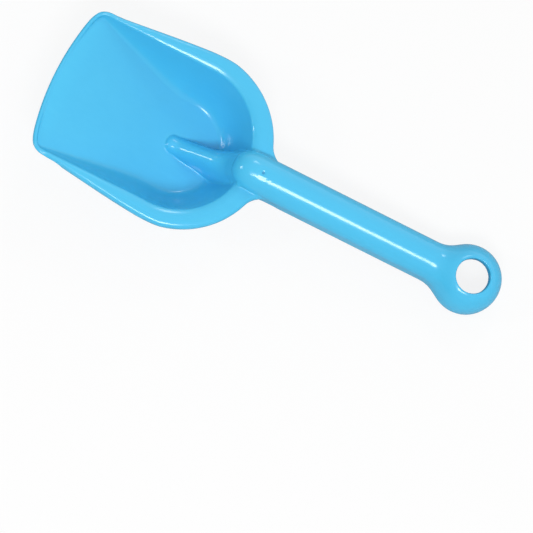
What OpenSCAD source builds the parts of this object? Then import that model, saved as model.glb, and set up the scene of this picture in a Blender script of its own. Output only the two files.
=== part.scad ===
/* [Overall] */
// Wall thickness of the whole moulding
wall = 2; // [1.6:0.1:2.6]
// Height of the rim flange's top over the handle's open underside
rim_z = 9; // [7:0.5:11]

/* [Handle] */
// Length of the handle, from the hanging hole's centre to the bowl's back wall
handle_len = 126; // [100:1:160]
// Width of the handle across its sides
handle_w = 20; // [17:0.5:23]
// How far the handle's nose stands out over the bowl's back wall
nose_reach = 5; // [3:0.5:7]
// How much of the nose's height its rounding takes
nose_round = 9; // [6:0.5:12]

/* [Hanging ring] */
// Outer diameter of the ring at its widest
ring_d = 36; // [32:0.5:40]
// Outer diameter of the ring at its foot
ring_foot_d = 34; // [30:0.5:36]
// Height of the ring's crown over its foot
ring_h = 22; // [21:0.5:26]
// Height of the ring's widest place over its foot
ring_belly_z = 4; // [2:0.5:6]
// Diameter of the hanging hole
hole_d = 18; // [14:0.5:20]

/* [Bowl] */
// Length of the bowl at the rim, from its back wall to the middle of the digging edge
bowl_len = 106; // [90:1:125]
// Length of the bowl's rounded back
back_len = 36; // [32:1:42]
// Width of the bowl between its side walls, at the rim
bowl_w = 76; // [66:0.5:88]
// Depth of the bowl under the rim, at its heel
bowl_depth = 31.5; // [24:0.5:36]
// Slope of the bowl's floor, in degrees
floor_angle = 25; // [20:1:30]
// Slope of the bowl's walls, in degrees
wall_angle = 68; // [60:1:74]
// Height of the blend between the walls and the floor
wall_blend = 16; // [8:1:22]
// Height of the blend between the heel and the sloping floor
heel_blend = 8; // [4:0.5:12]

/* [Digging edge] */
// How far the middle of the digging edge lies under the rim
edge_drop = 3; // [1:0.5:5]
// How far the digging edge bows forward of a straight line
edge_bow = 5.5; // [3:0.5:8]
// How far the front corners are rounded back
corner_cut = 4; // [2:0.5:6]
// Length of the level strip behind the digging edge
level_len = 6; // [3:0.5:10]
// How far the rounded bead stands out from the digging edge
bead_out = 1.2; // [0.8:0.1:1.6]

/* [Flange and lip] */
// Width of the flange beside the bowl's widest place
flange_w = 9; // [7:0.5:12]
// Width of the flange at the front corners
corner_flange_w = 1.5; // [1:0.1:3]
// Radius of the concave neck between the handle and the flange
neck_r = 12; // [8:0.5:16]
// Height of the flange's turned-down lip, with the flange
lip_h = 5; // [3:0.5:8]
// Thickness of the lip
lip_t = 1.6; // [1.2:0.1:2]
// How far the lip ends before the digging edge
lip_end = 20; // [16:1:30]

/* [Floor ridge] */
// How far the ridge's tip lies past the bowl's rounded back
ridge_past = 5; // [3:0.5:12]
// Width of the ridge under the nose
ridge_root_w = 16.5; // [12:0.5:17]
// Width of the ridge just before its tip
ridge_end_w = 10; // [7:0.5:12]
// Height of the ridge over the floor just before its tip
ridge_end_h = 3; // [2:0.5:4]
// Slope of the ridge's crest, in degrees
ridge_angle = 30; // [20:1:36]

/* [Hidden] */
sky = "deepskyblue";
$fn = 96;

// Half widths, and the least length that counts
half_handle = handle_w / 2;
half_bowl = bowl_w / 2;
half_blade = half_bowl + flange_w;
half_front = half_bowl + corner_flange_w;
hair = wall / 1000;
// Places along the shovel, from the hanging hole's centre: the bowl's widest place, the
// ridge's tip and the middle of the digging edge
widest_x = handle_len + back_len;
ridge_tip_x = widest_x + ridge_past;
reach = handle_len + bowl_len;
// The handle's crown is a half-round that springs from the rim's height
handle_h = rim_z + half_handle;

// Steps of the bowl's grid, forward: round its back, on to the ridge's tip, on to the edge
back_steps = 15;
tip_steps = 3;
side_steps = 9;
tip = back_steps + tip_steps;
last = tip + side_steps;
// Steps of the bowl's grid, outward: over half of the ridge, and on over the pan
ridge_steps = 5;
pan_steps = 11;
columns = ridge_steps + pan_steps;
// Steps of the other curves
bead_steps = 4;
neck_steps = 6;
round_steps = 24;
dome_steps = 9;

// The larger of two heights with a blend k high, the smaller one, and other helpers
function smax(a, b, k) =
    let (near = max(k - abs(a - b), 0))
    max(a, b) + near * near / (4 * max(k, hair));
function smin(a, b, k) = -smax(-a, -b, k);
function mix(a, b, t) = a + (b - a) * t;
function clamp(t) = min(max(t, 0), 1);
function unit(v) = v / max(norm(v), hair * hair / wall);
function backward(list) = [for (s = [len(list) - 1:-1:0]) list[s]];

// The bowl's inner outline: half an ellipse round the back, then straight sides.
// The digging edge bows forward, and its corners fall back over a short stretch.
corner_power = 16;
back_start = asin(half_handle / half_bowl);
nose_start_x = widest_x - back_len * cos(back_start);
function front_x(y) =
    let (across = abs(y) / half_front)
    reach - edge_bow * across * across - corner_cut * pow(across, corner_power);
corner_x = front_x(half_bowl);
function back_turn(i) = mix(back_start, 90, i / back_steps);
function station_x(i) =
    i <= back_steps ? widest_x - back_len * cos(back_turn(i))
    : i <= tip ? mix(widest_x, ridge_tip_x, (i - back_steps) / tip_steps)
    : mix(ridge_tip_x, corner_x, (i - tip) / side_steps);
function station_w(i) = i <= back_steps ? half_bowl * sin(back_turn(i)) : half_bowl;

// The bowl's floor: a level heel, a slope, and a level strip behind the digging edge
slope_end_x = reach - level_len;
edge_z = rim_z - edge_drop;
level_blend = level_len * tan(floor_angle);
function slope_z(x) = edge_z - (slope_end_x - x) * tan(floor_angle);
function floor_z(x) = smin(smax(slope_z(x), rim_z - bowl_depth, heel_blend), edge_z, level_blend);
// Towards the digging edge the floor lifts at its sides, up to the rim at the corners
lift_len_share = 0.35;
lift_power = 3;
function lift(x, y) =
    let (near = clamp(1 - (reach - x) / (reach * lift_len_share)))
    edge_drop * near * near * pow(abs(y) / half_bowl, lift_power);
// The bowl's steep walls, by how far a place lies inside the rim
function inward(x, y) =
    let (along = max((widest_x - x) / back_len, 0))
    half_bowl * (1 - norm([along, y / half_bowl]));
function bowl_z(x, y) =
    let (low = floor_z(x) + lift(x, y))
    smax(low, rim_z - inward(x, y) * tan(wall_angle), min(wall_blend, rim_z - low));

// The nose and the ridge are one tongue that falls from the handle's crown to the floor.
// It narrows under the nose, tapers to its tip and is rounded there.
nose_angle = 80;
nose_bulge_share = 0.8;
tip_w_share = 0.15;
nose_end_x = nose_start_x + nose_reach;
taper_end_x = ridge_tip_x - ridge_end_w / 2;
function taper_w(x) =
    mix(ridge_root_w, ridge_end_w, clamp((x - nose_end_x) / (taper_end_x - nose_end_x))) / 2;
function flare(x) =
    (half_handle - ridge_root_w / 2) * pow(clamp((nose_end_x - x) / nose_reach), 2);
function tip_round(x) =
    let (near = clamp((x - taper_end_x) / (ridge_tip_x - taper_end_x)))
    sqrt(max(1 - near * near, tip_w_share * tip_w_share));
function tongue_w(x) = (taper_w(x) + flare(x)) * tip_round(x);
function nose_z(x) = smin(handle_h, handle_h - (x - nose_end_x) * tan(nose_angle), nose_round);
function ridge_z(x) =
    floor_z(taper_end_x) + ridge_end_h + (taper_end_x - x) * tan(ridge_angle);
function crest_z(x) = smax(nose_z(x), ridge_z(x), nose_round);
function tongue_z(x, y, w) =
    let (side = bowl_z(x, w),
         across = clamp(abs(y) / w),
         set_back = nose_reach * nose_bulge_share * across * across,
         crest = max(crest_z(x + set_back), side),
         fade = mix(1, tip_round(x), clamp((x - nose_start_x) / nose_reach)))
    side + (crest - side) * fade * sqrt(max(1 - across * across, 0));

// The grid over the bowl: stations run forward, columns run out from the middle line.
// Past the tip the ridge's columns spread over the floor, and the pan's crowd at the walls.
floor_share = 0.3;
wall_crowd = 1.7;
function middle_w(i) =
    i <= tip ? tongue_w(station_x(i))
    : mix(tongue_w(ridge_tip_x), half_bowl * floor_share, (i - tip) / side_steps);
function column_y(i, j) =
    j <= ridge_steps ? middle_w(i) * sin(90 * j / ridge_steps)
    : let (t = (j - ridge_steps) / pan_steps)
      mix(middle_w(i), station_w(i), 1 - pow(1 - t, wall_crowd));
function column_x(i, y) =
    let (t = clamp((i - tip) / side_steps))
    station_x(i) + (front_x(y) - corner_x) * t * t;
function grid_point(i, j) =
    let (y = column_y(i, abs(j)),
         x = column_x(i, y),
         in_tongue = i < tip && abs(j) < ridge_steps)
    [x, sign(j) * y, in_tongue ? tongue_z(x, y, middle_w(i)) : bowl_z(x, y)];
skin = [for (i = [0:last]) [for (j = [-columns:columns]) grid_point(i, j)]];
function at(i, j) = skin[i][j + columns];

// The underside lies one wall under the skin, along its normal, but straight down at the
// rim and the digging edge. It stays under the flange, and ends where the handle ends.
function normal_at(i, j) =
    let (ahead = at(min(i + 1, last), j) - at(max(i - 1, 0), j),
         aside = at(i, min(j + 1, columns)) - at(i, max(j - 1, -columns)),
         n = unit(cross(ahead, aside)))
    i > 0 ? n : unit([0, n[1], n[2]]);
function under_point(i, j) =
    let (low = at(i, j) - wall * normal_at(i, j),
         at_rim = i == last || abs(j) == columns || (i == 0 && abs(j) >= ridge_steps),
         in_pan = i > 0 && (i > tip || abs(j) > ridge_steps),
         back_x = abs(low[1]) < half_handle ? max(low[0], nose_start_x) : low[0])
    at_rim ? at(i, j) - [0, 0, wall]
    : [back_x, low[1], in_pan ? min(low[2], rim_z - wall) : low[2]];
under = [for (i = [0:last]) [for (j = [-columns:columns]) under_point(i, j)]];

// The grid's cells by the piece that they belong to, and none past its ends
NOSE = 1;
RIDGE = 2;
PAN = 3;
nose_stations = 6;
function piece_of(i, j) =
    i < 0 || i >= last || abs(j + 1 / 2) > columns ? 0
    : i < tip && abs(j + 1 / 2) < ridge_steps ? (i < nose_stations ? NOSE : RIDGE)
    : PAN;

// One piece of the walled grid, closed by a wall where another piece or the air begins
module walled(piece) {
    across = 2 * columns + 1;
    layer = (last + 1) * across;
    function id(i, j) = i * across + j + columns;
    cells = [for (i = [0:last - 1]) for (j = [-columns:columns - 1])
        if (piece_of(i, j) == piece) [i, j]];
    halves = [for (c = cells)
        let (i = c[0], j = c[1]) each
        [[id(i, j), id(i, j + 1), id(i + 1, j + 1)], [id(i, j), id(i + 1, j + 1), id(i + 1, j)]]];
    edges = [for (c = cells) let (i = c[0], j = c[1]) each concat(
        piece_of(i - 1, j) == piece ? [] : [[id(i, j + 1), id(i, j)]],
        piece_of(i + 1, j) == piece ? [] : [[id(i + 1, j), id(i + 1, j + 1)]],
        piece_of(i, j - 1) == piece ? [] : [[id(i, j), id(i + 1, j)]],
        piece_of(i, j + 1) == piece ? [] : [[id(i + 1, j + 1), id(i, j + 1)]])];
    faces = concat(
        halves,
        [for (f = halves) [f[2] + layer, f[1] + layer, f[0] + layer]],
        [for (e = edges) each
            [[e[0], e[1], e[1] + layer], [e[0], e[1] + layer, e[0] + layer]]]);
    points = concat([for (row = skin) each row], [for (row = under) each row]);
    polyhedron(points = points, faces = faces);
}

// The flange's outer outline: the neck's arc, which meets the handle at an angle, then
// the blade's round back and its straight side
neck_meet = 20;
neck_y = half_handle + neck_r * cos(neck_meet);
neck_x = widest_x - sqrt(pow(half_blade + neck_r, 2) - neck_y * neck_y);
neck_turn = asin(neck_y / (half_blade + neck_r));
front_corner = [front_x(half_front), half_front];
to_corner = front_corner - [widest_x, 0];
side_turn = 180 - atan2(to_corner[1], to_corner[0]) - acos(half_blade / norm(to_corner));
function outer_line(inset) = concat(
    [for (s = [0:neck_steps])
        let (a = mix(neck_meet, 90 - neck_turn, s / neck_steps))
        [neck_x + (neck_r + inset) * sin(a), neck_y - (neck_r + inset) * cos(a)]],
    [for (s = [1:round_steps])
        let (a = mix(neck_turn, side_turn, s / round_steps))
        [widest_x - (half_blade - inset) * cos(a), (half_blade - inset) * sin(a)]]);
inner_line = [for (i = [0:last]) [at(i, columns)[0], at(i, columns)[1]]];

module both_sides() {
    children();
    mirror([0, 1, 0]) children();
}

module scoop_pan() {
    color(sky) lying() walled(PAN);
}

module floor_ridge() {
    color(sky) lying() walled(RIDGE);
}

module handle_nose() {
    color(sky) lying() walled(NOSE);
}

module rim_flange() {
    color(sky) lying() both_sides()
        translate([0, 0, rim_z - wall]) linear_extrude(wall)
            polygon(concat(outer_line(0), [front_corner], backward(inner_line)));
}

// The lip hangs under the flange's outer edge, and slopes up to nothing at its front end
lip_slope = 45;
module rim_lip() {
    lip_x = reach - lip_end;
    outer = outer_line(0);
    inner = outer_line(lip_t);
    side = unit(front_corner - outer[len(outer) - 1]);
    run = (lip_x - outer[len(outer) - 1][0]) / side[0];
    color(sky) lying() both_sides() difference() {
        translate([0, 0, rim_z - lip_h]) linear_extrude(lip_h - wall)
            polygon(concat(outer, [outer[len(outer) - 1] + side * run],
                           [inner[len(inner) - 1] + side * run], backward(inner)));
        translate([lip_x, 0, rim_z - wall]) rotate([0, 90 + lip_slope, 0])
            cube([reach, reach, reach]);
        translate([0, 0, -reach]) cube([reach, half_handle, 2 * reach]);
    }
}

// The front bead: a half-round along the digging edge, one section to each column
function bead_sections() =
    let (drop = [0, 0, wall],
         corner = [for (side = [-1, 1]) [front_corner[0], side * half_front, rim_z]],
         tops = concat([corner[0]], skin[last], [corner[1]]),
         lows = concat([corner[0] - drop], under[last], [corner[1] - drop]),
         count = len(tops))
    [for (s = [0:count - 1])
        let (along = tops[min(s + 1, count - 1)] - tops[max(s - 1, 0)],
             out = unit([along[1], -along[0], 0]),
             mid = (tops[s] + lows[s]) / 2,
             up = (tops[s] - lows[s]) / 2)
        [for (b = [0:bead_steps])
            let (a = 180 * b / bead_steps) mid + up * cos(a) + out * bead_out * sin(a)]];

module front_edge() {
    sections = bead_sections();
    count = len(sections);
    ring = bead_steps + 1;
    faces = concat(
        [for (s = [0:count - 2]) for (b = [0:bead_steps])
            let (c = (b + 1) % ring) each
            [[s * ring + b, (s + 1) * ring + b, (s + 1) * ring + c],
             [s * ring + b, (s + 1) * ring + c, s * ring + c]]],
        [for (b = [1:bead_steps - 1]) [0, b, b + 1]],
        [for (b = [1:bead_steps - 1]) [0, b + 1, b] + [1, 1, 1] * (count - 1) * ring]);
    color(sky) lying() polyhedron(points = [for (s = sections) each s], faces = faces);
}

// The handle's section: a half-round crown on straight legs
module channel_section(half_w, height) {
    intersection() {
        union() {
            translate([0, height - half_w]) circle(half_w);
            translate([-half_w, 0]) square([half_w * 2, height - half_w]);
        }
        translate([-half_w, 0]) square([half_w * 2, height]);
    }
}

module handle_run(half_w, height, to_x) {
    rotate([90, 0, 90]) linear_extrude(to_x) channel_section(half_w, height);
}

// The ring's outer form: a low belly and a round shoulder up to the hole's edge
shoulder_power = 2.2;
function dome_line(inset) =
    let (r_out = ring_d / 2 - inset, r_in = hole_d / 2, rise = ring_h - inset - ring_belly_z)
    concat([[ring_foot_d / 2 - inset, 0]],
           [for (s = [0:dome_steps])
               let (t = sin(90 * s / dome_steps))
               [mix(r_in, r_out, pow(1 - pow(t, shoulder_power), 1 / shoulder_power)),
                ring_belly_z + rise * t]]);

module dome(inset) {
    rotate_extrude()
        polygon(concat([[0, 0]], dome_line(inset), [[0, ring_h - inset]]));
}

// The hole's wall stays cylindrical, and the handle's hollow opens into the dome's
module hanging_ring() {
    color(sky) lying() difference() {
        dome(0);
        difference() {
            dome(wall);
            translate([0, 0, ring_h - wall]) cylinder(h = wall, r = ring_d);
        }
        cylinder(h = ring_h + wall, r = hole_d / 2);
        handle_run(half_handle - wall, handle_h - wall, ring_d);
    }
}

module handle_shell() {
    color(sky) lying() difference() {
        handle_run(half_handle, handle_h, nose_start_x);
        handle_run(half_handle - wall, handle_h - wall, reach);
        dome(0);
    }
}

// The shovel lies on the back of its ring's foot and on the bowl's heel, and the box
// round it is centred on the origin
foot_r = ring_foot_d / 2;
rest_angle = max([for (row = under) for (p = row) atan2(-p[2], p[0] + foot_r)]);
function along_floor(x, z) = (x + foot_r) * cos(rest_angle) - z * sin(rest_angle);
back_end = min([for (p = dome_line(0)) along_floor(-p[0], p[1])]);
front_end = max([for (b = bead_sections()[columns + 1]) along_floor(b[0], b[2])]);
middle_x = (back_end + front_end) / 2;
module lying() {
    translate([-middle_x, 0, 0]) rotate([0, -rest_angle, 0]) translate([foot_r, 0, 0]) children();
}
hole_at = [along_floor(0, ring_h) - middle_x, 0,
           foot_r * sin(rest_angle) + ring_h * cos(rest_angle)];
echo(rest_angle = rest_angle, hole_at = hole_at, hole_axis = [-sin(rest_angle), 0, cos(rest_angle)]);

hanging_ring();
handle_shell();
handle_nose();
floor_ridge();
scoop_pan();
rim_flange();
rim_lip();
front_edge();
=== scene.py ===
# %% [markdown]
# # A one-piece sand shovel
# This lesson dresses a child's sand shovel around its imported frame. The real shovel is one
# injection moulding in glossy sky blue plastic: a deep scoop with a flange round it, a ridge
# that stiffens the scoop's floor, a handle that is open beneath, and a hollow hanging ring.
# So there is one piece to build, and the care goes into its flowing form and its gloss.

# %% Load the frame
import math
import bpy
import numpy as np
from mathutils import Matrix, Vector


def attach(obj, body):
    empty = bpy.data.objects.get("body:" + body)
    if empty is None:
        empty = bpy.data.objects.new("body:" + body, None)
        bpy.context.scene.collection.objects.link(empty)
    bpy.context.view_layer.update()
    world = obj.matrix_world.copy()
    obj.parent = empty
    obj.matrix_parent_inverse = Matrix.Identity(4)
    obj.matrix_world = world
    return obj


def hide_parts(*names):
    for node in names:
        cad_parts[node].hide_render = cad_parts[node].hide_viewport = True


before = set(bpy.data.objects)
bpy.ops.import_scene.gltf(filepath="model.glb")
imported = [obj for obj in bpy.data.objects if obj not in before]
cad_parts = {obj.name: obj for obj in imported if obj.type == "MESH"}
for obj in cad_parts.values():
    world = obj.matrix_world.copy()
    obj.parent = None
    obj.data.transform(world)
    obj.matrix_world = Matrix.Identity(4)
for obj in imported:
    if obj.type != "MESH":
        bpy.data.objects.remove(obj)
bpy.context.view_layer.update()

# %% [markdown]
# ## Sums written as sums
# Both the shape and the finish are worked out by nodes. A small class wraps a node's socket
# and overloads the operators, so an expression in Python adds its Math nodes. Every other
# node comes from one method, which takes its type, its settings and the values of its sockets.

# %% A wrapped socket
class Wire:
    def __init__(self, sheet, socket):
        self.sheet, self.socket = sheet, socket

    def __add__(self, other): return self.sheet.sum("ADD", self, other)
    def __radd__(self, other): return self.sheet.sum("ADD", other, self)
    def __sub__(self, other): return self.sheet.sum("SUBTRACT", self, other)
    def __rsub__(self, other): return self.sheet.sum("SUBTRACT", other, self)
    def __mul__(self, other): return self.sheet.sum("MULTIPLY", self, other)
    def __rmul__(self, other): return self.sheet.sum("MULTIPLY", other, self)
    def __truediv__(self, other): return self.sheet.sum("DIVIDE", self, other)
    def __rtruediv__(self, other): return self.sheet.sum("DIVIDE", other, self)
    def __pow__(self, other): return self.sheet.sum("POWER", self, other)
    def __neg__(self): return self.sheet.sum("MULTIPLY", self, -1.0)


class Sheet:
    """A node tree, and the short way to add to it."""

    def __init__(self, tree):
        self.tree = tree

    def node(self, kind, settings=None, values=None, out=0):
        made = self.tree.nodes.new(kind)
        for name, value in (settings or {}).items():
            setattr(made, name, value)
        for key, value in (values or {}).items():
            self.feed(made.inputs[key], value)
        return Wire(self, made.outputs[out])

    def feed(self, socket, value):
        if isinstance(value, Wire):
            self.tree.links.new(value.socket, socket)
        else:
            socket.default_value = value

    def sum(self, operation, *values):
        return self.node("ShaderNodeMath", {"operation": operation}, dict(enumerate(values)))

    def point(self, x, y, z):
        return self.node("ShaderNodeCombineXYZ", None, {0: x, 1: y, 2: z})

    def parts(self, vector):
        made = self.node("ShaderNodeSeparateXYZ", None, {0: vector}).socket.node
        return [Wire(self, socket) for socket in made.outputs]


# %% [markdown]
# ## Words for the sums
# Where two forms meet on a moulding, the mould maker leaves a radius. So beside the larger and
# the smaller of two values there is a melted one, which rounds the place where they cross.

# %% Words for the sums
def most(a, b): return a.sheet.sum("MAXIMUM", a, b)
def least(a, b): return a.sheet.sum("MINIMUM", a, b)
def root(a): return a.sheet.sum("SQRT", a)
def size(a, b): return root(a * a + b * b)
def between(a): return most(least(a, 1.0), 0.0)
def mix(a, b, t): return a + (b - a) * t


def melt_up(a, b, k):
    """The larger of two values, with a blend k wide."""
    near = most(k - a.sheet.sum("ABSOLUTE", a - b), 0.0)
    return most(a, b) + near * near / (4.0 * k)


def melt_down(a, b, k):
    """The smaller of two values, with a blend k wide."""
    return -melt_up(-a, -b, k)


print("sheet, wires and words ready")

# %% [markdown]
# ## The moulding as one rule
# A moulding like this has no parts to join: each form runs into the next with a small radius,
# and the wall behind it is everywhere about 2 mm. Polygons pushed about by hand would show
# every one of those joins. Here the shape is a rule instead: a formula that gives, for any
# place, about how far it lies outside the plastic. Geometry Nodes work it out on a fine grid,
# draw the surface where it is zero, and then push every point exactly on to it. The sizes are
# the tree's named inputs, in millimetres and degrees, and most are the frame's own.

# %% The shovel's sizes
SIZES = {
    "Wall": 2.0, "Rim height": 9.0,
    "Handle length": 126.0, "Handle width": 20.0, "Nose reach": 5.0,
    "Ring width": 36.0, "Ring foot width": 34.0, "Ring height": 22.0, "Ring belly": 4.0,
    "Hole width": 18.0,
    "Bowl length": 106.0, "Back length": 36.0, "Bowl width": 76.0, "Bowl depth": 31.5,
    "Floor slope": 25.0, "Wall slope": 74.0, "Wall blend": 19.0, "Heel blend": 10.0,
    "Edge drop": 3.0, "Edge bow": 5.5, "Corner cut": 4.0, "Level strip": 6.0,
    "Bead radius": 1.15,
    "Flange width": 9.0, "Corner flange": 1.5, "Neck radius": 12.0,
    "Lip height": 5.0, "Lip thickness": 1.6, "Lip end": 20.0,
    "Ridge past back": 5.0, "Ridge root width": 16.5, "Ridge end width": 10.0,
    "Ridge end height": 3.0, "Ridge slope": 30.0,
    "Crease radius": 0.8, "Rim rounding": 1.5, "Ring blend": 5.0, "Edge rounding": 0.6,
}
FLOAT, VECTOR = "NodeSocketFloat", "NodeSocketVector"
print(len(SIZES), "named sizes")


# %% A group with those inputs
def new_group(name, ins, outs):
    """A node group: the sockets named in ins, then the sizes, then what it gives."""
    group = bpy.data.node_groups.new(name, "GeometryNodeTree")
    for label, kind in ins:
        group.interface.new_socket(label, in_out="INPUT", socket_type=kind)
    for label, value in SIZES.items():
        made = group.interface.new_socket(label, in_out="INPUT", socket_type=FLOAT)
        made.default_value = value
    for label, kind in outs:
        group.interface.new_socket(label, in_out="OUTPUT", socket_type=kind)
    sheet = Sheet(group)
    inside = group.nodes.new("NodeGroupInput")
    given = {socket.name: Wire(sheet, socket) for socket in inside.outputs if socket.name}
    outlet = group.nodes.new("NodeGroupOutput")
    return sheet, given, outlet


def ask(sheet, group, given, **places):
    """Use a group at a place, with the sizes handed on."""
    values = {label: given[label] for label in SIZES}
    values.update({label.replace("_", " "): wire for label, wire in places.items()})
    return sheet.node("GeometryNodeGroup", {"node_tree": group}, values)


def tangent(degrees):
    return degrees.sheet.sum("TANGENT", degrees * (math.pi / 180.0))


# %% [markdown]
# ## Places that several forms share
# The handle ends where the bowl's round back begins, the flange follows the bowl, and the neck
# joins both. So places are worked out once, along the shovel from the hanging hole's centre.
# The moulding's own axes run along the handle, and later the whole shovel is laid down.

# %% Shared places
MM = 0.001                        # metres
LYING = math.radians(8.50062)     # how far the shovel leans when it lies on ring and heel
NECK_MEET = math.radians(20.0)    # the angle at which the neck's arc meets the handle


def shared(given):
    """Half widths and places along the shovel, from the hanging hole's centre."""
    g = dict(given)
    g["half handle"] = g["Handle width"] / 2.0
    g["half bowl"] = g["Bowl width"] / 2.0
    g["half blade"] = g["half bowl"] + g["Flange width"]
    g["half front"] = g["half bowl"] + g["Corner flange"]
    g["widest"] = g["Handle length"] + g["Back length"]
    g["ridge tip"] = g["widest"] + g["Ridge past back"]
    g["reach"] = g["Handle length"] + g["Bowl length"]
    g["edge height"] = g["Rim height"] - g["Edge drop"]
    ratio = g["half handle"] / g["half bowl"]
    g["nose start"] = g["widest"] - g["Back length"] * root(1.0 - ratio * ratio)
    g["nose end"] = g["nose start"] + g["Nose reach"]
    g["taper end"] = g["ridge tip"] - g["Ridge end width"] / 2.0
    g["corner x"] = g["reach"] - g["Edge bow"] - g["Corner cut"]
    g["neck y"] = g["half handle"] + g["Neck radius"] * math.cos(NECK_MEET)
    far = g["half blade"] + g["Neck radius"]
    g["neck run"] = root(far * far - g["neck y"] * g["neck y"])
    g["neck x"] = g["widest"] - g["neck run"]
    return g


print("the shovel leans by", round(math.degrees(LYING), 2), "degrees")

# %% [markdown]
# ## The bowl
# The scoop's floor is a level heel, a slope and a level strip behind the digging edge. Its
# walls are steep, and they follow half an ellipse round the back. Each is a height over the
# plan, and the blends between them are wide, as they are on the real shovel, where sand must
# slide out and a child's hand can wipe it clean. The blend grows wider towards the front.

# %% The bowl's heights
FRONT_BLEND = 11.0                        # how much wider the walls' blend is in front
BLEND_BEHIND, BLEND_RUN = 20.0, 40.0      # where that starts, behind the widest place, and how long
LIFT_SHARE, LIFT_POWER = 0.35, 3.0        # the edge's rise: over what share of the reach, how late
CORNER_SHARE = 0.6                        # how much of that rise the floor takes
HAIR = 0.002


def floor_height(g, x):
    slope_end = g["reach"] - g["Level strip"]
    incline = tangent(g["Floor slope"])
    slope = g["edge height"] - (slope_end - x) * incline
    heel = melt_up(slope, g["Rim height"] - g["Bowl depth"], g["Heel blend"])
    return melt_down(heel, g["edge height"], g["Level strip"] * incline)


def inward(g, x, y):
    """How far a place lies inside the bowl's rim."""
    along = most((g["widest"] - x) / g["Back length"], 0.0)
    return g["half bowl"] * (1.0 - size(along, y / g["half bowl"]))


def edge_rise(g, x, y):
    """How much the digging edge rises towards its corners, and fades behind it."""
    near = between(1.0 - (g["reach"] - x) / (g["reach"] * LIFT_SHARE))
    return g["Edge drop"] * near * near * (y / g["half bowl"]) ** LIFT_POWER


def bowl_height(g, x, y):
    low = floor_height(g, x) + edge_rise(g, x, y) * CORNER_SHARE
    wall = g["Rim height"] - inward(g, x, y) * tangent(g["Wall slope"])
    width = g["Wall blend"] + FRONT_BLEND * between((x - g["widest"] + BLEND_BEHIND) / BLEND_RUN)
    return melt_up(low, wall, most(least(g["Rim height"] - low, width), HAIR))


sheet, given, outlet = new_group("bowl height", [("Place", VECTOR)], [("Height", FLOAT)])
x, y, z = sheet.parts(given["Place"])
sheet.feed(outlet.inputs["Height"], bowl_height(shared(given), x, y))
BOWL = sheet.tree
print(BOWL.name, len(BOWL.nodes), "nodes")

# %% [markdown]
# ## The nose
# The handle ends in a rounded nose over the bowl's back wall. It could be a sphere stuck on
# the handle's end, but the real one is squarer: its crest starts to fall well before the end,
# and its face leans out towards the ridge. So it is a superellipse along and across, and the
# same form, far from its end, is the handle's own crown and sides.

# %% The nose's rule
NOSE_SHOULDER = 8.0      # how far before the nose's start its crest begins to fall
NOSE_LEAN = 0.33         # how far the face leans out for each millimetre below the rim
NOSE_SQUARE = 2.5        # 2 would be an ellipse
NOSE_PAST = 0.8          # what the rounding adds to the nose's reach
NOSE_SCALE = 8.0         # turns the superellipse's ratio into about millimetres


def nose_form(g, x, y, z):
    lift = most(z - g["Rim height"], 0.0)
    across = size(y, lift) / g["half handle"]
    start = g["nose start"] - NOSE_SHOULDER
    lean = most(g["Rim height"] - z, 0.0) * NOSE_LEAN
    along = most(x - start, 0.0) / (g["Nose reach"] + NOSE_SHOULDER + NOSE_PAST + lean)
    ratio = (across ** NOSE_SQUARE + along ** NOSE_SQUARE) ** (1.0 / NOSE_SQUARE)
    return (ratio - 1.0) * NOSE_SCALE


print("the nose's face leans out by", round(math.degrees(math.atan(NOSE_LEAN))), "degrees")

# %% [markdown]
# ## The ridge
# Below the nose a half-cone ridge runs down to the floor. On the real moulding it is one
# tongue with the nose, hollow beneath, and it keeps the handle from snapping off. It is half a
# superellipse whose width and height change along the way, and its end is rounded in plan.

# %% The ridge's rule
RIDGE_SQUARE = 3.0       # how square the ridge's section and end are
RIDGE_LEVEL = 1.2        # how softly its crest levels out before the tip
RIDGE_LIFT = 0.5         # what the blend with the floor takes from its height
RIDGE_LEAST = 0.1        # the least rise, so that nothing is divided by zero
RIDGE_SCALE = 5.0        # turns its ratio into about millimetres
SINK = 1.5               # how far its sides reach under the floor
TONGUE_BLEND = 4.5       # the blend between nose and ridge


def ridge_width(g, x):
    part = between((x - g["nose end"]) / (g["taper end"] - g["nose end"]))
    return mix(g["Ridge root width"], g["Ridge end width"], part) / 2.0


def ridge_form(g, sheet, x, y, z):
    """The ridge's form, and how far a place lies beside or above it."""
    width = ridge_width(g, x)
    side = ask(sheet, BOWL, g, Place=sheet.point(x, width, 0.0))
    side = least(side, g["Rim height"]) - SINK
    climb = (g["taper end"] - RIDGE_LEVEL - x) * tangent(g["Ridge slope"])
    crest = floor_height(g, g["taper end"]) + g["Ridge end height"] + RIDGE_LIFT
    crest = crest + melt_up(climb, climb * 0.0, RIDGE_LEVEL)
    rise = most(crest - side, RIDGE_LEAST)
    across, over = y / width, most(z - side, 0.0) / rise
    end = most((x - g["taper end"]) / (g["Ridge end width"] / 2.0), 0.0)
    section = (across * across + over * over) ** (RIDGE_SQUARE / 2.0)
    ratio = (section + end ** RIDGE_SQUARE) ** (1.0 / RIDGE_SQUARE)
    return (ratio - 1.0) * RIDGE_SCALE, most(y - width, z - side - rise)


sheet, given, outlet = new_group("tongue form", [("Place", VECTOR)],
                                 [("Nose", FLOAT), ("Ridge", FLOAT), ("Outside", FLOAT)])
x, y, z = sheet.parts(given["Place"])
g = shared(given)
ridge, outside = ridge_form(g, sheet, x, y, z)
sheet.feed(outlet.inputs["Nose"], nose_form(g, x, y, z))
sheet.feed(outlet.inputs["Ridge"], ridge)
sheet.feed(outlet.inputs["Outside"], outside)
TONGUE = sheet.tree
print(TONGUE.name, len(TONGUE.nodes), "nodes")

# %% [markdown]
# ## The blade's outline
# Seen from above, the flange is a concave neck at the handle, a round back, two straight
# sides and a bowed digging edge with rounded corners. It could be a drawn curve, but then the
# flange, the lip and the bead would each need a copy of it. As a distance it serves all three.

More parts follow.
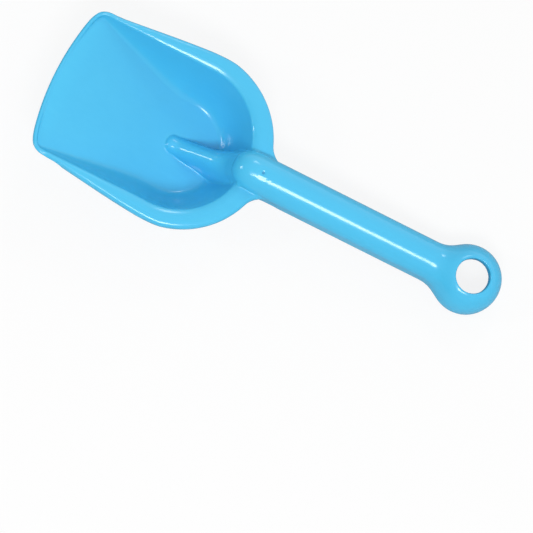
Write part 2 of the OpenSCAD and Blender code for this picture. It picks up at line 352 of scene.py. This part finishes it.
# %% The outline, from inside
CORNER_POWER = 16.0      # how late the digging edge falls back to its corners
CORNER_BLEND = 2.0


def outline(g, x, y):
    """How far a place lies inside the flange's outer edge."""
    half, neck, neck_y = g["half blade"], g["Neck radius"], g["neck y"]
    corner_run = g["corner x"] - g["widest"]
    corner_far = size(corner_run, g["half front"])
    bearing = (x.sheet.sum("ARCTAN2", g["half front"], corner_run)
               + x.sheet.sum("ARCCOSINE", half / corner_far))
    nx, ny = x.sheet.sum("COSINE", bearing), x.sheet.sum("SINE", bearing)
    px = x - g["widest"]
    out, on = px * nx + y * ny, px * ny - y * nx
    back = half - size(out, least(on, 0.0))
    arc = size(most(x - g["neck x"], 0.0), least(y - neck_y, 0.0)) - neck
    at_neck = x.sheet.sum("GREATER_THAN", -px * neck_y - y * g["neck run"], 0.0)
    back = mix(back, arc, at_neck)
    share = y / g["half front"]
    front_x = g["reach"] - g["Edge bow"] * share * share - g["Corner cut"] * share ** CORNER_POWER
    fall_back = (2.0 * g["Edge bow"] * share
                 + CORNER_POWER * g["Corner cut"] * share ** (CORNER_POWER - 1.0))
    skew = fall_back / g["half front"]
    front = (front_x - x) / root(1.0 + skew * skew)
    return melt_down(back, front, CORNER_BLEND)


print("the blade is", SIZES["Bowl width"] + 2.0 * SIZES["Flange width"], "mm wide")

# %% [markdown]
# ## The ring and the channel
# The hanging ring is a dome with a round shoulder that widens down to a belly and draws in a
# little to its foot. The handle beneath is a half-round channel on straight legs. Both are
# used with an inset too, because the hollow inside them is the same form, one wall smaller.

# %% The ring's dome and the handle's channel
DOME_INWARD, DOME_UPWARD = 1.6, 2.5     # how full the shoulder is, towards the hole and upwards
DOME_EASE = 0.02                        # keeps the dome's belly inside the frame's box


def dome(g, radius, z, inset):
    """The ring's dome, or its hollow where inset is the wall."""
    inner = g["Hole width"] / 2.0
    out = g["Ring width"] / 2.0 - inset - inner - DOME_EASE
    rise = g["Ring height"] - inset - g["Ring belly"]
    draw = (g["Ring width"] - g["Ring foot width"]) / 2.0 / g["Ring belly"]
    low = out - most(g["Ring belly"] - z, 0.0) * draw
    a = most(radius - inner, 0.0) / low
    b = most(z - g["Ring belly"], 0.0) / rise
    return (root(a ** DOME_INWARD + b ** DOME_UPWARD) - 1.0) * low


def channel(g, y, z, inset):
    return size(y, most(z - g["Rim height"], 0.0)) - (g["half handle"] - inset)


print("ring", SIZES["Ring width"], "mm, channel", SIZES["Handle width"], "mm wide outside")

# %% [markdown]
# ## From a height to a distance
# A wall of even thickness needs true distances, and a height over a steep wall is far more
# than its distance. Dividing a form by how fast it changes puts that right. The change is
# measured by asking for the form again a hair's breadth away along each axis.

# %% Distances
STEP = 0.05
FLAT = 0.01              # the least square of a change


def moved(sheet, place, axis):
    offset = [STEP if axis == i else 0.0 for i in range(3)]
    return sheet.node("ShaderNodeVectorMath", {"operation": "ADD"}, {0: place, 1: offset})


def change(sheet, form, here, place):
    return [(form(moved(sheet, place, axis)) - here) / STEP for axis in range(3)]


def over_height(z, heights):
    """The distance over a height, from the height here and a step along x and along y."""
    here, along_x, along_y = heights
    dx, dy = (along_x - here) / STEP, (along_y - here) / STEP
    return (z - here) / root(1.0 + dx * dx + dy * dy)


def tongue_top(g, sheet, place):
    """Distances over the nose and over the ridge, each from one use of the group a step."""
    spots = [place] + [moved(sheet, place, axis) for axis in range(3)]
    asked = [ask(sheet, TONGUE, g, Place=spot).socket.node.outputs for spot in spots]
    tops = []
    for label in ("Nose", "Ridge"):
        here, *near = [Wire(sheet, outputs[label]) for outputs in asked]
        dx, dy, dz = [(form - here) / STEP for form in near]
        tops.append(here / root(most(dx * dx + dy * dy + dz * dz, FLAT)))
    nose, ridge = tops
    return nose, most(ridge, Wire(sheet, asked[0]["Outside"]))


print("a change is measured over", STEP, "mm")

# %% [markdown]
# ## The flange's crown
# A flat flange would mirror the light all at once or not at all. The real one is crowned: its
# top falls away a little to the turned-down lip and to the bowl, so a long thin highlight runs
# along each edge. The fall is a soft curve over a few millimetres, never more than half of
# the flange's width, and it fades out where the flange narrows to the corners.

# %% The crowned top of flange and bowl
OUTER_CROWN = (3.2, 0.29)       # how wide the fall to the lip is, and how steep
INNER_CROWN = (4.5, 0.25)       # the same towards the bowl
LEAST_CROWN = 0.3


def fall(room, away, crown):
    """How far the flange has fallen at a distance from its edge."""
    reach, steep = crown
    reach = most(least(room / 2.0, reach), LEAST_CROWN)
    near = between((reach - away) / reach)
    return near * near * reach * steep


def flange_height(g, sheet, where):
    x, y, z = sheet.parts(where)
    outside, inside = outline(g, x, y), -inward(g, x, y)
    room = outside + inside
    return g["Rim height"] - fall(room, outside, OUTER_CROWN) - fall(room, inside, INNER_CROWN)


def blade_surfaces(g, sheet, place, z):
    """Distances over the blade's top and over the bowl, and the heights of top and flange."""
    spots = [place, moved(sheet, place, 0), moved(sheet, place, 1)]
    bowl = [ask(sheet, BOWL, g, Place=spot) for spot in spots]
    flange = [flange_height(g, sheet, spot) for spot in spots]
    top = [melt_down(b, f, g["Rim rounding"]) for b, f in zip(bowl, flange)]
    return over_height(z, top), over_height(z, bowl), top[0], flange[0]


print("crown falls by up to", round(OUTER_CROWN[0] * OUTER_CROWN[1], 2), "mm outside and",
      round(INNER_CROWN[0] * INNER_CROWN[1], 2), "mm inside")

# %% [markdown]
# ## The outer form
# Ring, handle, nose, ridge and blade now become one skin. The ring flows into the handle with
# a wide blend, the tongue into the blade with a crease's small radius. The shovel's halves
# mirror, so y is taken without its sign, and only the gate's mark needs the place's own y.

# %% The outer form
NECK_ROOM = 3.0          # how far the blade reaches under the handle, behind the neck
RIM_ROUND = 2.5          # the outline's rounding against the other edges'

sheet, given, outlet = new_group("moulding distance", [("Place", VECTOR)], [("Distance", FLOAT)])
g = shared(given)
x, y, z = sheet.parts(given["Place"])
own_y, y = y, sheet.sum("ABSOLUTE", y)
place = sheet.point(x, y, z)
wall, radius = g["Wall"], size(x, y)
top, bowl, top_height, level = blade_surfaces(g, sheet, place, z)
nose, ridge = tongue_top(g, sheet, place)
tube = melt_down(most(nose, -x), most(ridge, g["nose start"] - x), TONGUE_BLEND)
rim = least(outline(g, x, y), x - g["neck x"] + NECK_ROOM)
blade = melt_up(top, -rim, g["Edge rounding"] * RIM_ROUND)
ring = dome(g, radius, z, 0.0)
outer = melt_down(melt_down(ring, tube, g["Ring blend"]), blade, g["Crease radius"])
print("outer form", len(sheet.tree.nodes), "nodes so far")

# %% [markdown]
# ## The hollow beneath
# A moulding saves plastic and cools evenly by being hollow: all that lies a wall's depth
# inside is empty and open beneath. Left standing in it are the handle's two legs, the lip that
# turns down round the flange, and a short collar round the hanging hole, which keeps a cord
# from cutting into the ring's thin crown.

# %% The hollow
UNDER_BLEND, FOOT_BLEND = 1.5, 0.9      # radii between bowl and flange, and at legs and lip
LEG_PAST = 12.0                         # how far the legs run on past the nose's start
LIP_PAST = 0.5                          # how far the lip's form reaches past the outline
RUN_SHORT = 6.0                         # how far before the nose's shoulder the channel ends
COLLAR_WALL, COLLAR_DEPTH = 1.5, 5.5

deep = melt_down(melt_up(bowl, z - level, UNDER_BLEND), tube, g["Crease radius"]) + wall
legs = sheet.sum("ABSOLUTE", y - g["half handle"] + wall / 2.0) - wall / 2.0
legs = most(most(legs, -z), x - g["nose start"] - LEG_PAST)
lip_foot = most(g["Rim height"] - g["Lip height"],
                x - g["reach"] + g["Lip end"] + g["Rim height"] - wall)
lip = most(most(rim - g["Lip thickness"], -rim - LIP_PAST), lip_foot - z)
under = most(melt_up(deep, -least(legs, lip), FOOT_BLEND), g["neck x"] - NECK_ROOM - x)
shoulder = g["nose start"] - NOSE_SHOULDER
run = most(most(channel(g, y, z, wall), -x), x - shoulder + RUN_SHORT)
collar = most(radius - g["Hole width"] / 2.0 - COLLAR_WALL, g["Ring height"] - COLLAR_DEPTH - z)
hollow = most(least(least(run, dome(g, radius, z, wall)), under), -collar)

OPEN_PAST = 1.0          # the open underside's plane stops this far outside the bowl
ground = least(-z, OPEN_PAST - inward(g, x, y))
body = melt_up(outer, -hollow, g["Edge rounding"])
body = melt_up(body, ground, g["Edge rounding"])
print("with the hollow", len(sheet.tree.nodes), "nodes so far")

# %% [markdown]
# ## The bead and the holes
# A thin edge would cut a child's hand, so the digging edge ends in a rounded bead. It stands up
# as a raised band, runs round both corners, and sinks into the flange behind them. Then the
# hanging hole is cut, the gate where the plastic ran in leaves a small dimple on the handle,
# and the places that the shovel lies on are eased by a hair, to stay above the ground.

# %% The bead
BEAD_FADE, BEAD_BEHIND = 9.0, 4.0       # over what length it sinks, and where it is gone
BEAD_PAST = 1.0                         # how far it stands out from the outline
BEAD_RISE, BEAD_OVER = 0.5, 0.1         # how far it stands over the edge, and over the rim
BEAD_FOOT, BEAD_CREASE = 1.0, 0.5

sunk = between((g["corner x"] - x) / BEAD_FADE)
bead_top = least(g["edge height"] + edge_rise(g, x, y) + BEAD_RISE, g["Rim height"] + BEAD_OVER)
bead_top = bead_top - sunk
bead = size(rim - g["Bead radius"] + BEAD_PAST - sunk, most(z - bead_top + g["Bead radius"], 0.0))
bead = melt_up(bead - g["Bead radius"], top_height - wall - z, BEAD_FOOT)
bead = most(bead, g["corner x"] - BEAD_FADE - BEAD_BEHIND - x)
body = melt_down(body, bead, BEAD_CREASE)
print("with the bead", len(sheet.tree.nodes), "nodes so far")

# %% The hanging hole, the gate's mark and the places it lies on
HOLE_EASE, HOLE_ROUND = 0.15, 0.8
GATE = (117.8, 0.5, 18.95)              # on the handle's crown, just behind the nose
DIP_BALL, DIP_DEPTH, DIP_ROUND = 1.3, 0.35, 0.25
REST_LIFT, REST_ROUND = 0.02, 0.3

body = melt_up(body, g["Hole width"] / 2.0 - HOLE_EASE - radius, HOLE_ROUND)
off_ball = size(size(x - GATE[0], own_y - GATE[1]), z - GATE[2] - DIP_BALL + DIP_DEPTH)
body = melt_up(body, -(off_ball - DIP_BALL), DIP_ROUND)
resting = (x + g["Ring foot width"] / 2.0) * math.sin(LYING) + z * math.cos(LYING)
body = melt_up(body, REST_LIFT - resting, REST_ROUND)
sheet.feed(outlet.inputs["Distance"], body)
MOULDING = sheet.tree
print(MOULDING.name, len(MOULDING.nodes), "nodes")

# %% [markdown]
# ## From the rule to a mesh
# A volume grid samples the rule, and its zero surface becomes a mesh. Each point then steps
# along the rule's slope until it lies on the surface, with one smoothing in between that
# evens the faces out. The last nodes store the slope, which gives the mesh its exact normals.

# %% One step on to the surface
LONGEST_STEP = 0.5
LEAST_SLOPE = 0.1


def settle(sheet, given, mesh, group):
    """One step of every point on to the rule's surface."""
    spot = sheet.node("GeometryNodeInputPosition")
    form = lambda where: ask(sheet, group, given, Place=where)
    here = form(spot)
    slope = change(sheet, form, here, spot)
    steep = slope[0] * slope[0] + slope[1] * slope[1] + slope[2] * slope[2]
    back = most(least(-here / most(steep, LEAST_SLOPE), LONGEST_STEP), -LONGEST_STEP)
    step = sheet.point(*[back * part for part in slope])
    return sheet.node("GeometryNodeSetPosition", None, {"Geometry": mesh, "Offset": step})


print("a point steps", LONGEST_STEP, "mm at the most")

# %% The tree of the moulding
GRID = 0.85                             # millimetres between the volume's samples
LOW, HIGH = (-20.4, -49.3, -26.35), (234.6, 49.3, 24.65)
SURFACE, PER_MM = 0.5, 0.1              # the volume's density at the surface, and its fall
EVEN_SHARE = 0.5                        # how strongly the one smoothing evens the faces
LAST_STEPS = 3


def moulding_tree(material):
    sheet, given, outlet = new_group("shovel moulding", [("Geometry", "NodeSocketGeometry"),
                                                         ("Grid", FLOAT)],
                                     [("Geometry", "NodeSocketGeometry")])
    sheet.tree.interface.items_tree["Grid"].default_value = GRID
    spot = sheet.node("GeometryNodeInputPosition")
    depth = SURFACE - ask(sheet, MOULDING, given, Place=spot) * PER_MM
    values = {"Density": depth, "Background": 0.0, "Min": LOW, "Max": HIGH}
    for axis, low, high in zip("XYZ", LOW, HIGH):
        steps = (high - low) / given["Grid"] + 1.0
        values["Resolution " + axis] = sheet.node("FunctionNodeFloatToInt", None, {0: steps})
    cube = sheet.node("GeometryNodeVolumeCube", None, values)
    mesh = sheet.node("GeometryNodeVolumeToMesh", {"resolution_mode": "GRID"},
                      {"Volume": cube, "Threshold": SURFACE})
    mesh = settle(sheet, given, mesh, MOULDING)
    even = sheet.node("GeometryNodeBlurAttribute", {"data_type": "FLOAT_VECTOR"},
                      {"Value": sheet.node("GeometryNodeInputPosition"), "Iterations": 1,
                       "Weight": EVEN_SHARE})
    mesh = sheet.node("GeometryNodeSetPosition", None, {"Geometry": mesh, "Position": even})
    for step in range(LAST_STEPS):
        mesh = settle(sheet, given, mesh, MOULDING)
    spot = sheet.node("GeometryNodeInputPosition")
    form = lambda where: ask(sheet, MOULDING, given, Place=where)
    slope = sheet.point(*change(sheet, form, form(spot), spot))
    mesh = sheet.node("GeometryNodeStoreNamedAttribute", {"data_type": "FLOAT_VECTOR"},
                      {"Geometry": mesh, "Name": "slope", "Value": slope})
    mesh = sheet.node("GeometryNodeSetShadeSmooth", None, {"Geometry": mesh})
    mesh = sheet.node("GeometryNodeRealizeInstances", None, {"Geometry": mesh})
    mesh = sheet.node("GeometryNodeSetMaterial", None, {"Geometry": mesh, "Material": material})
    sheet.feed(outlet.inputs["Geometry"], mesh)
    return sheet.tree


print("grid", [round((b - a) / GRID) + 1 for a, b in zip(LOW, HIGH)], "samples")

# %% [markdown]
# ## The plastic
# The shovel is polypropylene, coloured in the mass and moulded in a polished tool, so it is
# glossy all over and one blue. It still isn't even. The colour clouds slowly where the melt
# folded, it is drawn out in faint lines along the way that the plastic ran from the gate, and
# round the gate the skin is rippled. The skin is also slightly wavy where thick and thin walls
# cooled apart, and that is what breaks the edges of the highlights. Painting these by hand
# would tie them to one view, so they are worked out from the place in the moulding, which the
# mesh carries as an attribute in millimetres.

# %% Two helpers for patterns
def patch(sheet, place, per_mm, detail, rough, seed):
    """Noise between 0 and 1: how many swells to a millimetre along x, y and z."""
    shrunk = sheet.node("ShaderNodeVectorMath", {"operation": "MULTIPLY"}, {0: place, 1: per_mm})
    return sheet.node("ShaderNodeTexNoise", {"noise_dimensions": "4D"},
                      {"Vector": shrunk, "W": seed, "Scale": 1.0, "Detail": detail,
                       "Roughness": rough}, out="Fac")


def blend(sheet, a, b, share):
    """A mix of two colours."""
    made = sheet.node("ShaderNodeMix", {"data_type": "RGBA"}).socket.node
    for socket, value in zip((made.inputs[0], made.inputs[6], made.inputs[7]), (share, a, b)):
        sheet.feed(socket, value)
    return Wire(sheet, made.outputs[2])


print("pattern helpers ready")

# %% Patterns over the plastic
PATTERNS = {     # swells to a millimetre along x, y and z, detail, roughness and seed
    "clouds": ((0.022, 0.030, 0.030), 3.0, 0.55, 1.0),
    "drawn": ((0.018, 0.42, 0.42), 3.0, 0.6, 2.0),
    "fine": ((0.9, 0.9, 0.9), 2.0, 0.5, 3.0),
    "wavy": ((0.11, 0.16, 0.16), 1.0, 0.4, 4.0),
}
RIPPLE_AREA, RIPPLE_TURNS, RIPPLE_WANDER = 30.0, 2.1, 9.0
DOT_RADIUS, DOT_EDGE = 0.95, 0.35

plastic = bpy.data.materials.new("sky_blue_plastic")
plastic.use_nodes = True
sheet = Sheet(plastic.node_tree)
place = sheet.node("ShaderNodeAttribute", {"attribute_name": "moulded_at"}, out="Vector")
clouds, drawn, fine, wavy = [patch(sheet, place, *facts) for facts in PATTERNS.values()]
off_gate = sheet.node("ShaderNodeVectorMath", {"operation": "DISTANCE"}, {0: place, 1: GATE},
                      out="Value")
near_gate = sheet.sum("EXPONENT", -(off_gate * off_gate) / RIPPLE_AREA)
ripple = sheet.sum("SINE", off_gate * RIPPLE_TURNS + wavy * RIPPLE_WANDER) * near_gate
dot = between((DOT_RADIUS - off_gate) / DOT_EDGE)
print("patterns", len(plastic.node_tree.nodes), "nodes")

# %% [markdown]
# ## What the patterns do
# Polypropylene that has just left its mould is not a mirror: its roughness is about 0.2, a
# little less where the tool was polished best. The waves are a hundredth or two of a
# millimetre high, and the grain a thousandth. The gate's dot is darker and dull, where the
# sprue tore off.

# %% Colour, gloss and skin
DEEP_BLUE, PALE_BLUE = (0.060, 0.490, 0.805, 1.0), (0.080, 0.550, 0.855, 1.0)
GATE_BLUE = (0.020, 0.250, 0.520, 1.0)
CLOUD_TINT, DRAWN_TINT, DEEPER, DOT_TINT = 1.1, 0.45, 0.28, 0.8
GLOSS, CLOUD_GLOSS, FINE_GLOSS, DRAWN_GLOSS, DOT_GLOSS = 0.125, 0.05, 0.03, 0.04, 0.3
WAVE_MM, FINE_MM, DRAWN_MM, RIPPLE_MM = 0.035, 0.0011, 0.0022, 0.035
PLASTIC_IOR = 1.49

colour = blend(sheet, DEEP_BLUE, PALE_BLUE,
               between(clouds * CLOUD_TINT + drawn * DRAWN_TINT - DEEPER))
colour = blend(sheet, colour, GATE_BLUE, dot * DOT_TINT)
gloss = (GLOSS + clouds * CLOUD_GLOSS + fine * FINE_GLOSS + drawn * DRAWN_GLOSS
         + dot * DOT_GLOSS)
skin = wavy * WAVE_MM + fine * FINE_MM + drawn * DRAWN_MM + ripple * RIPPLE_MM
dent = sheet.node("ShaderNodeBump", None, {"Height": skin * MM, "Distance": 1.0,
                                           "Strength": 1.0})
shader = plastic.node_tree.nodes["Principled BSDF"]
sheet.feed(shader.inputs["Base Color"], colour)
sheet.feed(shader.inputs["Roughness"], gloss)
sheet.feed(shader.inputs["Normal"], dent)
shader.inputs["IOR"].default_value = PLASTIC_IOR
print("plastic", len(plastic.node_tree.nodes), "nodes")

# %% [markdown]
# ## The mesh, laid down
# The tree is evaluated once and its result kept as a plain mesh, so nothing is left to work
# out later. The place in the moulding is stored before the shovel is laid down on its ring's
# foot and its heel, as the frame has it, and before millimetres become metres. The rule's
# slope gives each point its normal, which is smoother than what the faces alone would give.

# %% Laying the shovel down
FOOT_RADIUS, BEHIND = 17.0, -122.307    # the ring's foot, and its place in the frame


def lying_matrix():
    """From the moulding's own axes, in millimetres, to the frame's, in metres."""
    leaned = Matrix.Rotation(-LYING, 4, "Y")
    low = leaned @ Matrix.Translation((FOOT_RADIUS, 0.0, 0.0))
    return Matrix.Scale(MM, 4) @ Matrix.Translation((BEHIND, 0.0, 0.0)) @ low


lying = lying_matrix()
lying_turn = lying.to_3x3().normalized()
hole = lying @ Vector((0.0, 0.0, SIZES["Ring height"]))
print("the hole's centre lies at", [round(v, 4) for v in hole])


# %% The plain mesh
def run_tree(name, tree):
    """Evaluate a tree on an empty mesh and keep the result as a plain mesh."""
    holder = bpy.data.objects.new(name, bpy.data.meshes.new(name))
    bpy.context.collection.objects.link(holder)
    modifier = holder.modifiers.new("rule", "NODES")
    modifier.node_group = tree
    for item in tree.interface.items_tree:
        if item.in_out == "INPUT" and item.name in SIZES:
            modifier[item.identifier] = SIZES[item.name]
        if item.in_out == "INPUT" and item.name == "Grid":
            modifier[item.identifier] = GRID * 1.0
    bpy.context.view_layer.update()
    seen = holder.evaluated_get(bpy.context.evaluated_depsgraph_get())
    mesh = bpy.data.meshes.new_from_object(seen)
    holder.modifiers.clear()
    holder.data = mesh
    return holder


moulding = run_tree("shovel_moulding", moulding_tree(plastic))
mesh = moulding.data
print("moulding", len(mesh.vertices), "points", len(mesh.polygons), "faces")

# %% Its places and normals
LEAST_LENGTH = 1e-6
slopes = np.empty(len(mesh.vertices) * 3, np.float32)
mesh.attributes["slope"].data.foreach_get("vector", slopes)
slopes = slopes.reshape(-1, 3)
slopes /= np.maximum(np.linalg.norm(slopes, axis=1, keepdims=True), LEAST_LENGTH)
mesh.attributes.remove(mesh.attributes["slope"])
where = np.empty(len(mesh.vertices) * 3, np.float32)
mesh.vertices.foreach_get("co", where)
mesh.attributes.new("moulded_at", "FLOAT_VECTOR", "POINT").data.foreach_set("vector", where)
mesh.transform(lying)
turned = slopes @ np.array(lying_turn).T
mesh.normals_split_custom_set_from_vertices(turned.tolist())
mesh.update()

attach(moulding, "root")
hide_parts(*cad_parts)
print("stands for", len(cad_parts), "nodes of the frame")

# %% [markdown]
# ## The camera
# The picture was taken with a long lens from nearly straight above, about ten degrees to one
# side. These angles were found from the outlines. A camera's matrix is its right, its up and
# its backward direction and its place, so the angles are written as directions in the
# moulding and laid down with it.

# %% The camera
PIXEL, PICTURE = 0.5114, 533            # millimetres to a pixel, and the picture's width
LENS, SENSOR, SIGHT = 180.0, 36.0, 20.0
TILT, LEAN, ROLL = math.radians(5.6), math.radians(10.1), math.radians(1.06)
DIAGONAL = (0.8946, 0.4470)             # how the shovel lies across the picture
MIDDLE = (93.2, 38.5)                   # the picture's middle, along and across the shovel

along = Vector((math.cos(TILT), 0.0, -math.sin(TILT)))
across = Vector((-math.sin(TILT) * math.sin(LEAN), math.cos(LEAN),
                 -math.cos(TILT) * math.sin(LEAN)))
towards = Vector((math.sin(TILT) * math.cos(LEAN), math.sin(LEAN),
                  math.cos(TILT) * math.cos(LEAN)))
along, across = (math.cos(ROLL) * along - math.sin(ROLL) * across,
                 math.sin(ROLL) * along + math.cos(ROLL) * across)
right = -DIAGONAL[0] * along - DIAGONAL[1] * across
up = DIAGONAL[1] * along - DIAGONAL[0] * across
middle = lying @ (MIDDLE[0] * along + MIDDLE[1] * across)
right, up, towards = lying_turn @ right, lying_turn @ up, lying_turn @ towards

camera_data = bpy.data.cameras.new("camera")
camera = bpy.data.objects.new("camera", camera_data)
bpy.context.collection.objects.link(camera)
camera_data.lens = LENS
camera_data.sensor_width = SENSOR
camera_data.clip_end = SIGHT
distance = PICTURE * PIXEL / 1000.0 * LENS / SENSOR
stand = middle + towards * distance
camera.matrix_world = Matrix((
    (right.x, up.x, towards.x, stand.x), (right.y, up.y, towards.y, stand.y),
    (right.z, up.z, towards.z, stand.z), (0.0, 0.0, 0.0, 1.0)))
bpy.context.scene.camera = camera
print("camera", [round(v, 3) for v in stand], "at", round(distance, 2), "m")

# %% [markdown]
# ## The floor
# The shovel lies on white paper. To the camera the paper is almost pure white, yet it keeps
# the shovel's faint shadow, so what the camera sees is a mix of glow and lit paint. Mirrored
# in the plastic it is darker, so that the flanks keep their own blue, and seen from beneath it
# is clear.

# %% The floor
FLOOR_HALF = 3
PAPER, MIRRORED_PAPER = (0.92, 0.92, 0.92, 1.0), (0.35, 0.35, 0.35, 1.0)
GLOW, GLOW_SHARE, PAPER_ROUGH = 0.985, 0.88, 0.9

floor_mesh = bpy.data.meshes.new("floor")
corners = [(-1, -1), (1, -1), (1, 1), (-1, 1)]
floor_mesh.from_pydata([(a * FLOOR_HALF, b * FLOOR_HALF, 0) for a, b in corners], [],
                       [(0, 1, 2, 3)])
floor = bpy.data.objects.new("floor", floor_mesh)
bpy.context.collection.objects.link(floor)
white = bpy.data.materials.new("floor_white")
white.use_nodes = True
sheet = Sheet(white.node_tree)
paint = white.node_tree.nodes["Principled BSDF"]
paint.inputs["Roughness"].default_value = PAPER_ROUGH
paint.inputs["Specular IOR Level"].default_value = 0.0
rays = sheet.node("ShaderNodeLightPath").socket.node.outputs
seen, mirrored = Wire(sheet, rays["Is Camera Ray"]), Wire(sheet, rays["Is Glossy Ray"])
sheet.feed(paint.inputs["Base Color"], blend(sheet, PAPER, MIRRORED_PAPER, mirrored))
glow = sheet.node("ShaderNodeEmission", None, {"Color": (1.0, 1.0, 1.0, 1.0), "Strength": GLOW})
lit = sheet.node("ShaderNodeMixShader", None,
                 {0: seen * GLOW_SHARE, 1: Wire(sheet, paint.outputs[0]), 2: glow})
beneath = sheet.node("ShaderNodeNewGeometry", out="Backfacing")
clear = sheet.node("ShaderNodeBsdfTransparent")
both = sheet.node("ShaderNodeMixShader", None, {0: beneath, 1: lit, 2: clear})
sheet.feed(white.node_tree.nodes["Material Output"].inputs["Surface"], both)
floor_mesh.materials.append(white)
print("floor", 2 * FLOOR_HALF, "m wide,", len(white.node_tree.nodes), "nodes")

# %% [markdown]
# ## The sky
# A light tent is not evenly bright, and gloss shows it. This sky is brightest low down on the
# far side, half as bright overhead and behind the handle, and nearly dark beyond the digging
# edge, which is why the scoop's back wall is the deepest blue of all.

# %% The sky
LOW_SKY, HIGH_SKY = 0.40, 0.67
FAR_SKY, BACK_SKY, DARK_AHEAD = 2.4, 0.4, 0.85

world = bpy.data.worlds.new("world")
bpy.context.scene.world = world
world.use_nodes = True
sheet = Sheet(world.node_tree)
way = sheet.node("ShaderNodeTexCoord", out="Generated")
ahead, beside, height = sheet.parts(way)
back, far, height = between(-ahead), between(-beside), between(height)
low_sky = LOW_SKY * (1.0 + FAR_SKY * far + BACK_SKY * back)
background = world.node_tree.nodes["Background"]
background.inputs["Color"].default_value = (1.0, 1.0, 1.0, 1.0)
strength = mix(low_sky, HIGH_SKY, height) * (1.0 - DARK_AHEAD * between(ahead))
sheet.feed(background.inputs["Strength"], strength)
print("sky", len(world.node_tree.nodes), "nodes")

# %% [markdown]
# ## The lamps
# Three oval soft boxes make the highlights. The long key light draws the streak along the
# handle and those along the flange's edges, one in front picks out the nose and the ridge, and
# a weak one on the far side touches the ring. Each is set by its bearing and its height over
# the shovel, in degrees, because a highlight's place depends on direction alone.

# %% The lamps
AWAY = 1.2                              # metres from the shovel
LAMPS = {                               # bearing, height, width across, brightness, length
    "key": (114, 60, 14, 18.5, 1.6),
    "front_light": (20, 38, 11, 15.0, 1.0),
    "far_light": (-85, 45, 10, 9.0, 1.0),
}


def soft_light(name, bearing_deg, height_deg, across_deg, brightness, long):
    """An oval soft box: its bearing, height and width round the shovel, brightness, length."""
    lamp = bpy.data.lights.new(name, "AREA")
    lamp.shape = "ELLIPSE"
    lamp.size_y = 2.0 * AWAY * math.tan(math.radians(across_deg / 2.0))
    lamp.size = lamp.size_y * long
    area = math.pi * lamp.size * lamp.size_y / 4.0
    lamp.energy = brightness * math.pi * area
    made = bpy.data.objects.new(name, lamp)
    bpy.context.collection.objects.link(made)
    bearing, height = math.radians(bearing_deg), math.radians(height_deg)
    place = Vector((math.cos(bearing) * math.cos(height), math.sin(bearing) * math.cos(height),
                    math.sin(height))) * AWAY
    made.location = place
    made.rotation_euler = place.to_track_quat("Z", "Y").to_euler()
    return made


for name, facts in LAMPS.items():
    made = soft_light(name, *facts)
    print(name, [round(v, 2) for v in made.location], round(made.data.energy, 1), "W")
bpy.context.scene.view_settings.view_transform = "Standard"
